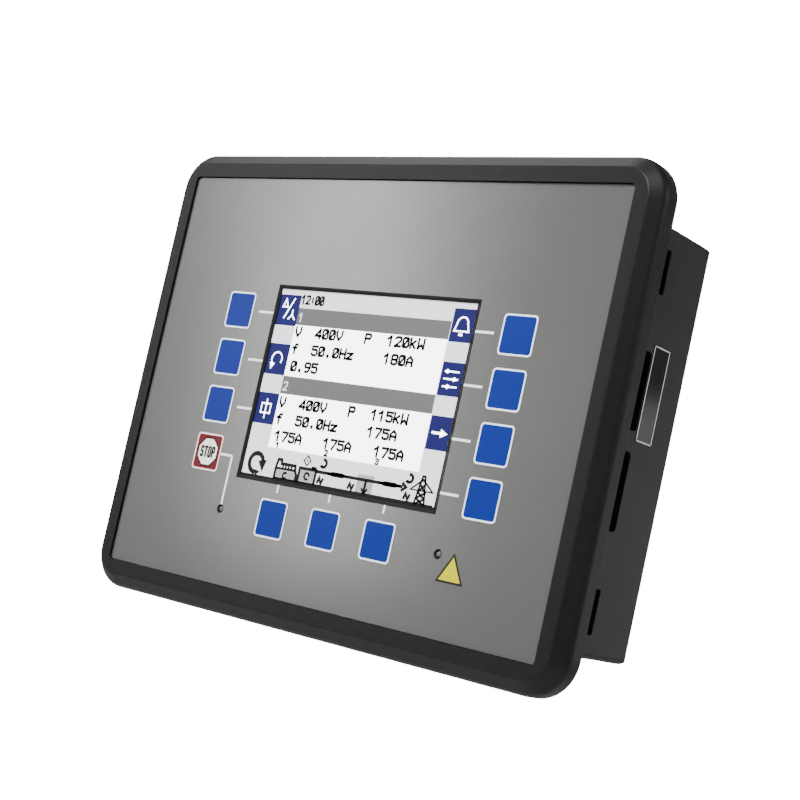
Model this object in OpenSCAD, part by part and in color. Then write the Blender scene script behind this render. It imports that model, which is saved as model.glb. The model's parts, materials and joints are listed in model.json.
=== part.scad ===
// Remote alarm control panel for a switchboard door. A moulded front bezel carries a printed
// membrane overlay, a display and eleven keys; a moulded housing closes it from behind.
// X points to the right, Y into the door and Z up. The origin is the centre of the seat
// plane, where the rear face of the bezel's flange meets the door.

/* [Front layout] */
// Width of the display opening in the overlay
window_w = 119.8; // [110:0.1:134]
// Height of the display opening in the overlay
window_h = 91.2; // [82:0.1:102]
// Distance from the display opening's side edges to the side key columns
side_key_gap = 22.2; // [20:0.1:30]
// Distance from the display opening's lower edge to the lower key row
lower_key_gap = 15.6; // [13.8:0.1:24]
// Distance from the left key column to the bezel's left edge
left_margin = 63.2; // [56:0.1:80]
// Distance from the right key column to the bezel's right edge
right_margin = 54.6; // [50:0.1:80]
// Distance from the display opening to the bezel's upper edge
top_margin = 63.3; // [56:0.1:80]
// Distance from the lower key row to the bezel's lower edge
bottom_margin = 46.9; // [42:0.1:70]
// Pitch of the side keys
side_key_pitch = 22.8; // [20:0.1:25]
// Distance from the display's middle down to the middle of the side key rows
side_keys_drop = 2.2; // [0:0.1:4]
// Pitch of the lower keys
lower_key_pitch = 32; // [28:0.1:36]
// Distance from a side key column in to the lamp beside it
lamp_dx = 16.6; // [14:0.1:18.6]

/* [Front bezel] */
// Outer corner radius, seen from the front
bezel_corner_r = 18; // [14:0.5:22]
// Distance from the seat plane to the flat rim
bezel_t = 13.2; // [12.4:0.1:15]
// Depth of the straight side wall behind the chamfer
side_wall_t = 8.4; // [7:0.1:9.4]
// Width of the chamfer, seen from the front
chamfer_w = 6; // [5:0.1:7]
// Width of the flat rim inside the chamfer
rim_w = 6.9; // [6:0.1:8]
// Rounding of the outer edge that meets the panel
seat_edge_r = 1; // [0.4:0.1:1.5]
// Rounding between the side wall and the chamfer
side_edge_r = 4.5; // [1:0.1:6]
// Rounding between the chamfer and the rim
rim_edge_r = 1.2; // [0.4:0.1:1.6]
// Depth of the overlay's face below the rim
recess_t = 1.3; // [0.8:0.1:2]
// Corner radius of the overlay and its recess
overlay_corner_r = 2; // [1:0.5:4]
// Thickness of the moulded floor behind the overlay
floor_t = 2.6; // [2:0.1:3]
// Thickness of the ribs behind the floor
rib_t = 1.5; // [1.2:0.1:2]
// Height of the ribs behind the floor
rib_h = 4.5; // [3:0.1:5]

/* [Overlay and display] */
// Thickness of the printed overlay film
overlay_t = 0.6; // [0.4:0.1:0.8]
// Gap round the overlay in its recess
overlay_gap = 0.3; // [0.1:0.1:0.6]
// Side of a square key on the overlay
key_size = 17.4; // [15:0.1:19]
// Corner radius of a key
key_r = 1.8; // [1:0.1:3]
// Height of the embossed keys above the overlay
key_emboss_t = 0.15; // [0.05:0.05:0.3]
// Gap between the overlay and the moulded display frame
window_gap = 0.2; // [0.1:0.05:0.3]
// Width of the moulded frame round the display
frame_w = 1.7; // [1.4:0.1:2.2]
// Width of the flat land outside the frame's bevel
frame_land_w = 0.3; // [0.2:0.1:0.5]
// Depth of the frame's inward bevel
bevel_t = 0.6; // [0.4:0.1:0.8]
// Thickness of the lip that holds the pane
lip_t = 0.5; // [0.4:0.1:0.8]
// Thickness of the clear pane
pane_t = 0.8; // [0.5:0.1:1.2]
// Overlap of the pane behind the lip
pane_overlap = 1.1; // [0.8:0.1:1.5]
// Gap round the pane in its pocket
pane_gap = 0.15; // [0.1:0.05:0.3]
// Distance from the display opening's side edges to the display module's
lcd_border_w = 12.1; // [11:0.1:13.6]
// Distance from the display opening's upper and lower edges to the display module's
lcd_border_h = 6.7; // [6:0.1:7.6]
// Depth of the display module
lcd_t = 12.5; // [11:0.1:14]
// Thickness of the module's sheet metal frame
lcd_sheet_t = 0.8; // [0.5:0.1:1]
// Thickness of the foam seal in front of the module
lcd_seal_t = 1; // [0.5:0.1:1.5]
// Width of the foam seal
lcd_seal_w = 3.5; // [2.5:0.1:4]
// Width of a fixing ear on the module
lcd_ear_w = 7; // [6:0.1:8]
// Distance from the module's corner to the middle of an ear
lcd_ear_inset = 8.3; // [6:0.1:12]

/* [Keys and lamps] */
// Width of a key switch body
switch_w = 6; // [5.5:0.1:7]
// Height of a key switch body above its board
switch_t = 3.5; // [3:0.1:4]
// Diameter of a key plunger
plunger_d = 3.5; // [3:0.1:3.8]
// Radial clearance of a plunger in its switch
plunger_clearance = 0.05; // [0.03:0.01:0.08]
// Length of a plunger inside its switch
plunger_grip = 1.9; // [1.5:0.1:2.2]
// Travel of a key
key_travel = 0.25; // [0.15:0.05:0.3]
// Gap between a plunger and the overlay film
plunger_gap = 0.15; // [0.1:0.05:0.25]
// Radial gap between a plunger and its hole in the bezel's floor
key_hole_gap = 0.45; // [0.3:0.05:0.6]
// Diameter of a lamp
lamp_d = 3; // [2.6:0.1:3.2]
// Width of the dark ring round a lamp
lamp_ring = 0.4; // [0.2:0.05:0.5]
// Overhang of a lamp's flange
lamp_flange_w = 0.4; // [0.2:0.05:0.5]
// Thickness of a lamp's flange
lamp_flange_t = 1; // [0.6:0.1:1.4]
// Spacing of a lamp's legs
lamp_leg_pitch = 2.54; // [2:0.01:2.8]
// Thickness of a lamp's leg
lamp_leg_t = 0.5; // [0.4:0.05:0.6]

/* [Rear housing] */
// Width of the flange beside the housing
flange_w = 17.25; // [15:0.05:20]
// Width of the flange above and below the housing
flange_h = 18.1; // [16:0.1:20]
// Depth of the housing behind the seat plane
body_depth = 59.1; // [50:0.1:80]
// Wall of the housing
wall_t = 2.5; // [2:0.1:3]
// Corner radius of the housing, seen from behind
body_corner_r = 2.5; // [1:0.5:8]
// Rounding of the housing's rear edges, above and below
rear_edge_r = 3; // [1.5:0.5:5]
// Rounding of the housing's rear edges at the sides
rear_side_r = 1; // [0.5:0.5:3]
// Length of the collar that locates the housing on the bezel
collar_len = 6; // [4:0.5:8]
// Wall of the collar
collar_t = 2; // [1.5:0.1:2.5]
// Gap between collar and housing
collar_gap = 0.15; // [0.1:0.05:0.3]
// Depth of the shallow field on the rear wall
rear_field_t = 0.6; // [0.3:0.1:1]
// Width of the field on the rear wall
rear_field_w = 150; // [100:5:180]
// Height of the field on the rear wall
rear_field_h = 90; // [60:5:110]
// Corner radius of the field on the rear wall
rear_field_r = 4; // [2:0.5:8]

/* [Side openings] */
// Width of a connector opening
opening_w = 17; // [15:0.1:19]
// Gap between a connector and the ends of its opening
opening_gap = 1.3; // [1:0.1:3]
// Width of the web between the two connector openings
opening_web = 8.7; // [6:0.1:14]
// Distance from the main board's rear face forward to the connector openings' front edge
opening_lead = 0.1; // [0:0.1:0.4]
// Corner radius of a connector opening
opening_r = 2; // [1:0.1:3]
// Distance from the housing's upper and lower edges to the middle of a clamp slot
clamp_slot_inset = 19.3; // [17:0.1:24]
// Length of a clamp slot
clamp_slot_len = 19; // [16:0.5:22]
// Distance from the seat plane to the rear edge of the clamp slots
clamp_slot_y = 29.3; // [26:0.1:33]
// Width of a clamp slot
clamp_slot_w = 3.7; // [2:0.1:3.9]
// Width of the side label
label_w = 12.3; // [8:0.1:15]
// Length of the side label
label_len = 40.5; // [30:0.5:44]
// Thickness of the side label
label_t = 0.25; // [0.1:0.05:0.4]
// Gap between the opening and the side label
label_gap = 0.8; // [0.5:0.1:6]

/* [Boards] */
// Thickness of a circuit board
board_t = 1.6; // [1:0.1:2]
// Corner radius of a circuit board
board_r = 2; // [1:0.5:4]
// Distance from the bezel's floor back to the keypad board
keypad_standoff = 7.1; // [6.6:0.1:8]
// Distance from the collar to the keypad board's side edges
keypad_gap_x = 16.1; // [14.4:0.1:18]
// Distance from the collar to the keypad board's upper and lower edges
keypad_gap_z = 12.75; // [11.2:0.05:14]
// Length of the spacers between the boards
spacer_len = 12; // [10.8:0.1:14]
// Distance from the collar to the main board's side edges
main_gap_x = 8.1; // [7.2:0.1:9]
// Distance from the collar to the main board's upper and lower edges
main_gap_z = 15.75; // [14:0.05:17]
// Width across the flats of the spacers
spacer_af = 5.5; // [5:0.1:6]
// Distance from the keypad board's side edges to the spacers
spacer_inset_x = 6; // [5:0.1:7]
// Distance from the keypad board's upper and lower edges to the spacers
spacer_inset_z = 9; // [8:0.1:10]
// Distance from mid-width to the keypad board's screws
keypad_screw_x = 50; // [46:0.5:60]
// Distance from the keypad board's upper and lower edges to its screws
keypad_screw_inset = 4.5; // [4:0.1:5]

/* [Connectors] */
// Distance from the housing's side to the tip of the data sockets
socket_recess = 4.75; // [3:0.05:6]
// Length of a data socket's nose
socket_nose = 6; // [5:0.1:6.5]
// Length of a data socket's plate
socket_plate_len = 30.8; // [30:0.1:31.6]
// Width of a data socket's plate
socket_plate_w = 12.5; // [12:0.1:13]
// Thickness of a data socket's plate
socket_plate_t = 0.8; // [0.5:0.1:1]
// Gap between the main board and a data socket's plate
socket_lift = 0.6; // [0.3:0.1:1]
// Length of a data socket's nose along the housing
socket_shell_w = 16.3; // [16:0.1:16.8]
// Height of a data socket's nose
socket_shell_h = 7.9; // [7.5:0.1:8.4]
// Wall of a data socket's nose
socket_shell_t = 0.5; // [0.4:0.1:0.6]
// Corner radius of a data socket's nose
socket_shell_r = 2.2; // [1.8:0.1:2.6]
// Distance between the two jack screws of a data socket
jack_pitch = 25; // [24.5:0.05:25.2]
// Width across the flats of a jack nut
jack_nut_af = 5; // [4.5:0.1:5.2]
// Length of a jack nut
jack_nut_len = 5; // [4.5:0.1:5.6]
// Thread diameter of a jack nut
jack_thread_d = 2.5; // [2.2:0.1:2.8]
// Number of ways of a terminal plug
terminal_count = 6; // [4:1:6]
// Pitch of a terminal plug
terminal_pitch = 5.08; // [5:0.01:5.4]
// Width of a terminal header
header_w = 9; // [8.5:0.1:9.5]
// Depth of a terminal header
header_depth = 12; // [11:0.1:13]
// Width of a terminal plug's head
plug_w = 11.4; // [11:0.1:12]
// Depth of a terminal plug's head
plug_head = 10; // [9:0.1:11]
// Distance from the housing's side to a terminal plug's face
plug_recess = 0.95; // [0.5:0.05:2]

/* [Fixings] */
// Outer diameter of a nut insert
insert_d = 5.6; // [5:0.1:6]
// Thread diameter of a nut insert
insert_thread_d = 4; // [3:0.5:4]
// Length of a nut insert
insert_len = 6; // [5:0.5:7]
// Distance between a nut insert and the gasket's groove
insert_gap = 1.05; // [0.8:0.05:1.6]
// Distance from the housing's corner to the outer nut inserts, measured along the flange
insert_end = 3.75; // [3:0.05:10]
// Half spacing of the nut inserts along the sides
insert_side_z = 36; // [20:1:70]
// Width of the gasket on the flange
gasket_w = 4; // [3:0.1:4.4]
// Depth of the groove that holds the gasket
gasket_t = 1.5; // [1:0.1:2]
// Distance from the housing to the gasket
gasket_gap = 1.9; // [1.5:0.1:2.2]
// Diameter of the housing screws
housing_screw_d = 2.8; // [2.5:0.1:3]
// Length of the housing screws below the head
housing_screw_len = 15; // [13:0.5:16]
// Head diameter of the housing screws
housing_head_d = 6.4; // [6:0.1:6.6]
// Head height of the housing screws
housing_head_t = 2.6; // [2:0.1:3]
// Diameter of the small screws that hold boards and display
small_screw_d = 2.4; // [2:0.1:2.6]
// Head diameter of the small screws
small_head_d = 5; // [4.6:0.1:5.2]
// Head height of the small screws
small_head_t = 1.8; // [1.4:0.1:2]

/* [Hidden] */
$fn = 48;
// Radial gap between a screw or insert and its hole
fit_gap = 0.05;
// Radial gap between a screw and the board or ear that it passes through
pass_gap = 0.2;
// Overshoot of a cut past the face it opens
cut = 1;
// Overlap that joins two shapes of one piece
weld = 0.1;
// Depth of a screw hole past the screw's tip
hole_rest = 1.5;
SIDES = [-1, 1];

bezel_w = left_margin + window_w + 2 * side_key_gap + right_margin;
bezel_h = top_margin + window_h + lower_key_gap + bottom_margin;
display_x = (left_margin - right_margin) / 2;
display_z = (bottom_margin + lower_key_gap - top_margin) / 2;
overlay_w = bezel_w - 2 * (chamfer_w + rim_w);
overlay_h = bezel_h - 2 * (chamfer_w + rim_w);
front_y = -bezel_t;
overlay_y = front_y + recess_t;
floor_y = overlay_y + overlay_t;
floor_back_y = floor_y + floor_t;

body_w = bezel_w - 2 * flange_w;
body_h = bezel_h - 2 * flange_h;
inner_w = body_w - 2 * (wall_t + collar_gap + collar_t);
inner_h = body_h - 2 * (wall_t + collar_gap + collar_t);
least_r = 0.5;
housing_inner_r = max(body_corner_r - wall_t, least_r);
cavity_r = max(housing_inner_r - collar_gap - collar_t, least_r);

aperture_w = window_w - 2 * frame_w;
aperture_h = window_h - 2 * frame_w;
pane_w = aperture_w + 2 * pane_overlap;
pane_h = aperture_h + 2 * pane_overlap;
pane_y = overlay_y + bevel_t + lip_t;
pane_back_y = pane_y + pane_t;
glass_gap = 0.4;
glass_hole_w = pane_w + 2 * glass_gap;
glass_hole_h = pane_h + 2 * glass_gap;
lcd_w = window_w + 2 * lcd_border_w;
lcd_h = window_h + 2 * lcd_border_h;
lcd_y = floor_back_y + lcd_seal_t;
lcd_back_y = lcd_y + lcd_t;
lcd_guide_y = lcd_y + lcd_sheet_t;
lcd_rear_step = 1;
lcd_board_gap = 1;
lcd_wall_gap = 0.3;
lcd_wall_t = 1.5;
lcd_wall_h = 5;
lcd_ear_x = (lcd_w + lcd_ear_w) / 2;
lcd_ear_z = lcd_h / 2 - lcd_ear_inset;
lcd_ear_y = lcd_y + 1.5;
lcd_screw_len = 3;
pocket_half_w = lcd_w / 2 + lcd_wall_gap;
pocket_half_h = lcd_h / 2 + lcd_wall_gap;

keypad_y = floor_back_y + keypad_standoff;
keypad_back_y = keypad_y + board_t;
keypad_board_w = inner_w - 2 * keypad_gap_x;
keypad_board_h = inner_h - 2 * keypad_gap_z;
main_board_y = keypad_back_y + spacer_len;
main_back_y = main_board_y + board_t;
main_board_w = inner_w - 2 * main_gap_x;
main_board_h = inner_h - 2 * main_gap_z;
switch_y = keypad_y - switch_t;
plunger_tip_y = floor_y + plunger_gap;
plunger_end_y = switch_y + plunger_grip;
plunger_rest = 0.1;
key_hole_d = plunger_d + 2 * key_hole_gap;

left_key_x = left_margin - bezel_w / 2;
right_key_x = bezel_w / 2 - right_margin;
side_keys_z = display_z - side_keys_drop;
lower_key_z = bottom_margin - bezel_h / 2;
lamp_hole_d = lamp_d + 2 * lamp_ring;
function side_row(i) = side_keys_z + (1.5 - i) * side_key_pitch;
KEYS = concat(
    [for (i = [0:2]) [str("left_", i + 1), left_key_x, side_row(i)]],
    [["stop", left_key_x, side_row(3)]],
    [for (i = [0:3]) [str("right_", i + 1), right_key_x, side_row(i)]],
    [for (i = [0:2]) [str("lower_", i + 1), display_x + (i - 1) * lower_key_pitch, lower_key_z]]
);
LAMPS = [[left_key_x + lamp_dx, lower_key_z], [right_key_x - lamp_dx, lower_key_z]];

insert_out = gasket_gap + gasket_w + insert_gap + insert_d / 2;
insert_hole_rest = 0.5;
insert_outer_x = body_w / 2 - insert_end;
insert_inner_x = insert_outer_x / 3;
INSERTS = concat(
    [for (sx = SIDES, sz = SIDES, x = [insert_outer_x, insert_inner_x])
        [sx * x, sz * (body_h / 2 + insert_out)]],
    [for (sx = SIDES, sz = SIDES) [sx * (body_w / 2 + insert_out), sz * insert_side_z]]
);

// The bosses clear the corners of both boards
housing_head_gap = 0.3;
tube_wall_t = 1;
boss_wall_t = 2.8;
housing_boss_d = housing_screw_d + 2 * boss_wall_t;
housing_tube_d = housing_head_d + 2 * (housing_head_gap + tube_wall_t);
housing_boss_x = inner_w / 2 - 8.6;
housing_boss_z = inner_h / 2 - 7.9;
housing_mid_z = inner_h / 2 - 6.4;
HOUSING_SCREWS = concat(
    [for (sx = SIDES, sz = SIDES) [sx * housing_boss_x, sz * housing_boss_z]],
    [for (sz = SIDES) [0, sz * housing_mid_z]]
);
housing_web_t = 4;

small_boss_d = 6.4;
ear_boss_d = 5.4;
pilot_len = 6.5;
ear_pilot_len = 1.2;
board_screw_len = 7;
stud_len = 6;
spacer_x = keypad_board_w / 2 - spacer_inset_x;
spacer_z = keypad_board_h / 2 - spacer_inset_z;
SPACERS = [for (sx = SIDES, z = [-spacer_z, 0, spacer_z]) [sx * spacer_x, z]];
keypad_screw_z = keypad_board_h / 2 - keypad_screw_inset;
KEYPAD_SCREWS = [for (sx = SIDES, sz = SIDES) [sx * keypad_screw_x, sz * keypad_screw_z]];
LCD_EARS = [for (sx = SIDES, sz = SIDES) [display_x + sx * lcd_ear_x, display_z + sz * lcd_ear_z]];

// Board to board link above the display
link_w = 5;
link_inset = 11;
link_z = keypad_board_h / 2 - link_inset;
link_base_t = 2.5;
link_pins = 16;
link_pitch = 2.54;
link_end = 2.45;
link_len = (link_pins - 1) * link_pitch + 2 * link_end;
link_pin_t = 0.64;
link_pin_len = 5;
link_slot_w = 1;

// Nine-way data sockets on the right side
socket_x = body_w / 2 - socket_recess - socket_nose;
socket_y = main_back_y + socket_lift + socket_plate_w / 2;
socket_slant = 1.2;
socket_pitch = 2.77;
socket_row = 2.84;
contact_d = 1.1;
contact_len = 5;
core_setback = 0.4;
core_foot_len = 12;
core_foot_w = 19;
core_foot_drop = 1;
jack_d = 3;
jack_stub = 4;
jack_hole_start = 1;

// Pluggable terminals on the left side
terminal_len = terminal_count * terminal_pitch;
header_wall = 1;
header_base = 3;
header_play = 0.2;
header_x = plug_recess + plug_head - body_w / 2;
plug_y = main_back_y + opening_lead;
plug_tongue_gap = 1;
wire_way_w = 3.2;
wire_way_h = 3.4;
wire_way_y = 1.4;
wire_way_rest = 1.5;
terminal_screw_y = 5.6;
terminal_screw_d = 3.7;
terminal_screw_len = 3.6;
terminal_slot_w = 0.7;
terminal_slot_t = 0.6;

opening_len = max(socket_plate_len, terminal_len) + 2 * opening_gap;
opening_z = (opening_len + opening_web) / 2;
opening_front_y = main_back_y - opening_lead;
opening_rear_y = opening_front_y + opening_w;
clamp_slot_z = body_h / 2 - clamp_slot_inset;
clamp_slot_r = 1;

// Outline drawn in X and Z, made solid from y0 to y1
module slab(y0, y1) {
    translate([0, y1, 0]) rotate([90, 0, 0]) linear_extrude(y1 - y0) children();
}

// Outline drawn in Z and -Y, made solid along X
module run_x(x0, x1) {
    rotate([180, 0, 0]) rotate([0, 90, 0]) translate([0, 0, x0]) linear_extrude(x1 - x0) children();
}

// Outline drawn in X and -Y, made solid along Z about mid-height
module run_z(len) {
    rotate([180, 0, 0]) linear_extrude(len, center = true) children();
}

// Round bar along Y
module bar(at, y0, y1, d) {
    translate([at[0], y1, at[1]]) rotate([90, 0, 0]) cylinder(d = d, h = y1 - y0);
}

// Hexagonal bar along Y
module hex_bar(at, y0, y1, af) {
    translate([at[0], y1, at[1]]) rotate([90, 0, 0]) cylinder(d = af / cos(30), h = y1 - y0, $fn = 6);
}

// Box between two corners
module block(low, high) {
    translate(low) cube(high - low);
}

// Rectangle with true round corners
module round_rect(w, h, r) {
    square([w - 2 * r, h], center = true);
    square([w, h - 2 * r], center = true);
    for (sx = SIDES, sz = SIDES) translate([sx * (w / 2 - r), sz * (h / 2 - r)]) circle(r);
}

// Rectangular ring of constant width round a w by h rectangle
module ring(w, h, r, t) {
    difference() {
        round_rect(w + 2 * t, h + 2 * t, r + t);
        round_rect(w, h, r);
    }
}

module at_display() {
    translate([display_x, 0, display_z]) children();
}

// Arc that rounds the corner at p between two directions of travel
function round_corner(p, a_in, a_out, r, n = 4) =
    let (turn = a_out - a_in,
         start = p - r * tan(turn / 2) * [cos(a_in), sin(a_in)],
         c = start + r * [-sin(a_in), cos(a_in)])
    [for (i = [0:n]) c + r * [sin(a_in + turn * i / n), -cos(a_in + turn * i / n)]];

// Outer edge of the bezel's section, at a distance from the axis or centre line
function edge_points(half) =
    let (slope = 90 + atan2(chamfer_w, bezel_t - side_wall_t))
    concat(round_corner([half, 0], 0, 90, seat_edge_r),
           round_corner([half, side_wall_t], 90, slope, side_edge_r, 8),
           round_corner([half - chamfer_w, bezel_t], slope, 180, rim_edge_r));
function mirrored(points) = [for (i = [len(points) - 1:-1:0]) [-points[i][0], points[i][1]]];
function face_section(half) = concat(edge_points(half), mirrored(edge_points(half)));

// Bezel without its hollows: straight runs of one section, and the same section turned at corners
module bezel_blank() {
    centre_x = bezel_w / 2 - bezel_corner_r;
    centre_z = bezel_h / 2 - bezel_corner_r;
    run_x(-centre_x, centre_x) polygon(face_section(bezel_h / 2));
    run_z(2 * centre_z) polygon(face_section(bezel_w / 2));
    for (sx = SIDES, sz = SIDES)
        translate([sx * centre_x, 0, sz * centre_z]) rotate([90, 0, 0])
            rotate_extrude() polygon(concat([[0, 0]], edge_points(bezel_corner_r), [[0, bezel_t]]));
}

module gasket_ring() {
    ring(body_w + 2 * gasket_gap, body_h + 2 * gasket_gap, body_corner_r + gasket_gap, gasket_w);
}

module bezel_hollows() {
    slab(front_y - cut, floor_y)
        round_rect(overlay_w + 2 * overlay_gap, overlay_h + 2 * overlay_gap, overlay_corner_r);
    slab(floor_back_y, cut) round_rect(inner_w, inner_h, cavity_r);
    slab(-gasket_t, cut) gasket_ring();
}

// Walls that locate the display module, and the ribs that stiffen the floor
module bezel_ribs() {
    at_display() slab(floor_back_y, floor_back_y + lcd_wall_h)
        ring(2 * pocket_half_w, 2 * pocket_half_h, 0.5, lcd_wall_t);
    for (i = [0:2]) {
        z = side_row(i) - side_key_pitch / 2;
        block([-inner_w / 2, floor_back_y, z - rib_t / 2],
              [display_x - pocket_half_w, floor_back_y + rib_h, z + rib_t / 2]);
        block([display_x + pocket_half_w, floor_back_y, z - rib_t / 2],
              [inner_w / 2, floor_back_y + rib_h, z + rib_t / 2]);
    }
    for (sx = SIDES) {
        x = display_x + sx * lower_key_pitch / 2;
        block([x - rib_t / 2, floor_back_y, -inner_h / 2],
              [x + rib_t / 2, floor_back_y + rib_h, display_z - pocket_half_h]);
        block([x - rib_t / 2, floor_back_y, display_z + pocket_half_h],
              [x + rib_t / 2, floor_back_y + rib_h, inner_h / 2]);
    }
}

// Notches that let the display's ears through its locating walls
module ear_notches() {
    reach = lcd_ear_w / 2 + lcd_wall_gap;
    for (p = LCD_EARS)
        block([p[0] - reach, lcd_ear_y, p[1] - reach],
              [p[0] + reach, floor_back_y + lcd_wall_h + cut, p[1] + reach]);
}

module bezel_bosses() {
    for (p = HOUSING_SCREWS) bar(p, floor_back_y, collar_len, housing_boss_d);
    for (p = concat(SPACERS, KEYPAD_SCREWS)) bar(p, floor_back_y, keypad_y, small_boss_d);
    for (p = LCD_EARS) bar(p, floor_back_y, lcd_ear_y, ear_boss_d);
}

// Sides of the display frame's bevel, seen in section
function bevel_section(half) =
    let (slope = (frame_w - window_gap - frame_land_w) / bevel_t,
         top = half + slope * (bevel_t + cut),
         low_y = -overlay_y - bevel_t,
         top_y = cut - overlay_y)
    [[-half, low_y], [half, low_y], [top, top_y], [-top, top_y]];

// Opening for the display: an inward bevel, an opening behind it and a pocket for the pane
module display_cut() {
    intersection() {
        run_x(-window_w, window_w) polygon(bevel_section(aperture_h / 2));
        run_z(2 * window_h) polygon(bevel_section(aperture_w / 2));
    }
    slab(overlay_y - cut, floor_back_y + cut) square([aperture_w, aperture_h], center = true);
    slab(pane_y, floor_back_y + cut)
        square([pane_w + 2 * pane_gap, pane_h + 2 * pane_gap], center = true);
}

module front_bezel() {
    color([0.09, 0.09, 0.1]) difference() {
        union() {
            difference() {
                bezel_blank();
                bezel_hollows();
            }
            slab(-cut, collar_len) ring(inner_w, inner_h, cavity_r, collar_t);
            at_display() slab(overlay_y, floor_y + weld)
                square([window_w - 2 * window_gap, window_h - 2 * window_gap], center = true);
            difference() {
                bezel_ribs();
                ear_notches();
            }
            bezel_bosses();
        }
        at_display() display_cut();
        for (k = KEYS) bar([k[1], k[2]], floor_y - cut, floor_back_y + cut, key_hole_d);
        for (p = LAMPS) bar(p, floor_y - cut, floor_back_y + cut, lamp_hole_d);
        for (p = INSERTS) bar(p, -insert_len - insert_hole_rest, cut, insert_d + 2 * fit_gap);
        for (p = HOUSING_SCREWS)
            bar(p, collar_len + housing_web_t - housing_screw_len - hole_rest, collar_len + cut,
                housing_screw_d + 2 * fit_gap);
        for (p = concat(SPACERS, KEYPAD_SCREWS))
            bar(p, keypad_y - pilot_len, keypad_y + cut, small_screw_d + 2 * fit_gap);
        for (p = LCD_EARS)
            bar(p, floor_back_y - ear_pilot_len, lcd_ear_y + cut, small_screw_d + 2 * fit_gap);
    }
}

module flange_gasket() {
    color([0.2, 0.2, 0.2]) slab(-gasket_t, 0) gasket_ring();
}

module nut_inserts() {
    color("goldenrod") for (p = INSERTS) difference() {
        bar(p, -insert_len, 0, insert_d);
        bar(p, -insert_len - cut, cut, insert_thread_d);
    }
}

// Printed film with embossed keys
module front_overlay() {
    color([0.5, 0.5, 0.49]) slab(overlay_y, floor_y) difference() {
        round_rect(overlay_w, overlay_h, overlay_corner_r - overlay_gap);
        translate([display_x, display_z]) square([window_w, window_h], center = true);
        for (p = LAMPS) translate(p) circle(d = lamp_hole_d);
    }
    for (k = KEYS)
        color(k[0] == "stop" ? [0.72, 0.2, 0.22] : [0.2, 0.33, 0.66]) translate([k[1], 0, k[2]])
            slab(overlay_y - key_emboss_t, overlay_y + weld) round_rect(key_size, key_size, key_r);
}

module display_window() {
    color([0.8, 0.85, 0.9, 0.4]) at_display()
        slab(pane_y, pane_back_y) square([pane_w, pane_h], center = true);
}

module lcd_seal() {
    color([0.15, 0.15, 0.15]) at_display()
        slab(floor_back_y, lcd_y) ring(glass_hole_w, glass_hole_h, 0.5, lcd_seal_w);
}

// Folded sheet metal frame with four ears
module lcd_frame() {
    color("silver") difference() {
        union() {
            at_display() {
                slab(lcd_y, lcd_y + lcd_sheet_t) difference() {
                    square([lcd_w, lcd_h], center = true);
                    square([glass_hole_w, glass_hole_h], center = true);
                }
                slab(lcd_y, lcd_back_y - lcd_rear_step) difference() {
                    square([lcd_w, lcd_h], center = true);
                    square([lcd_w - 2 * lcd_sheet_t, lcd_h - 2 * lcd_sheet_t], center = true);
                }
            }
            for (p = LCD_EARS) {
                inward = (p[0] > display_x) ? weld : 0;
                block([p[0] - lcd_ear_w / 2 - inward, lcd_ear_y, p[1] - lcd_ear_w / 2],
                      [p[0] + lcd_ear_w / 2 + weld - inward, lcd_ear_y + lcd_sheet_t, p[1] + lcd_ear_w / 2]);
            }
        }
        for (p = LCD_EARS)
            bar(p, lcd_ear_y - cut, lcd_ear_y + lcd_sheet_t + cut, small_screw_d + 2 * pass_gap);
    }
}

module lcd_glass() {
    color([0.75, 0.8, 0.85]) at_display()
        slab(pane_back_y, lcd_guide_y) square([pane_w, pane_h], center = true);
}

module lcd_backlight() {
    play = 2 * (lcd_sheet_t + pass_gap);
    color([0.9, 0.9, 0.88]) at_display()
        slab(lcd_guide_y, lcd_back_y) square([lcd_w - play, lcd_h - play], center = true);
}

// Pan head screw along Y with a hexagonal drive, its head on the rear side of the face at y
module screw(at, y, len, d, head_d, head_t) {
    drive_share = 0.42;
    drive_start = 0.45;
    difference() {
        union() {
            bar(at, y - len, y, d);
            bar(at, y, y + head_t, head_d);
        }
        hex_bar(at, y + head_t * drive_start, y + head_t + cut, head_d * drive_share);
    }
}

module lcd_screws() {
    color("silver") for (p = LCD_EARS)
        screw(p, lcd_ear_y + lcd_sheet_t, lcd_screw_len, small_screw_d, small_head_d, small_head_t);
}

module keypad_board() {
    color("darkgreen") slab(keypad_y, keypad_back_y) difference() {
        round_rect(keypad_board_w, keypad_board_h, board_r);
        translate([display_x, display_z])
            square([lcd_w + 2 * lcd_board_gap, lcd_h + 2 * lcd_board_gap], center = true);
        for (p = concat(SPACERS, KEYPAD_SCREWS)) translate(p) circle(d = small_screw_d + 2 * pass_gap);
    }
}

module keypad_screws() {
    color("silver") for (p = KEYPAD_SCREWS)
        screw(p, keypad_back_y, board_screw_len, small_screw_d, small_head_d, small_head_t);
}

// Domed lamp with a flange and two legs, standing on the keypad board
module lamp(p) {
    flange_y = floor_back_y + 0.5 + lamp_flange_t;
    dome_y = overlay_y + lamp_d / 2;
    bar(p, dome_y, flange_y, lamp_d);
    bar(p, flange_y - lamp_flange_t, flange_y, lamp_d + 2 * lamp_flange_w);
    intersection() {
        translate([p[0], dome_y, p[1]]) sphere(d = lamp_d);
        block([p[0] - lamp_d, overlay_y - cut, p[1] - lamp_d], [p[0] + lamp_d, dome_y + weld, p[1] + lamp_d]);
    }
    for (sx = SIDES) {
        x = p[0] + sx * lamp_leg_pitch / 2;
        block([x - lamp_leg_t / 2, flange_y - weld, p[1] - lamp_leg_t / 2],
              [x + lamp_leg_t / 2, keypad_y, p[1] + lamp_leg_t / 2]);
    }
}

module stop_lamp() {
    color([0.75, 0.75, 0.72]) lamp(LAMPS[0]);
}

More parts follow.
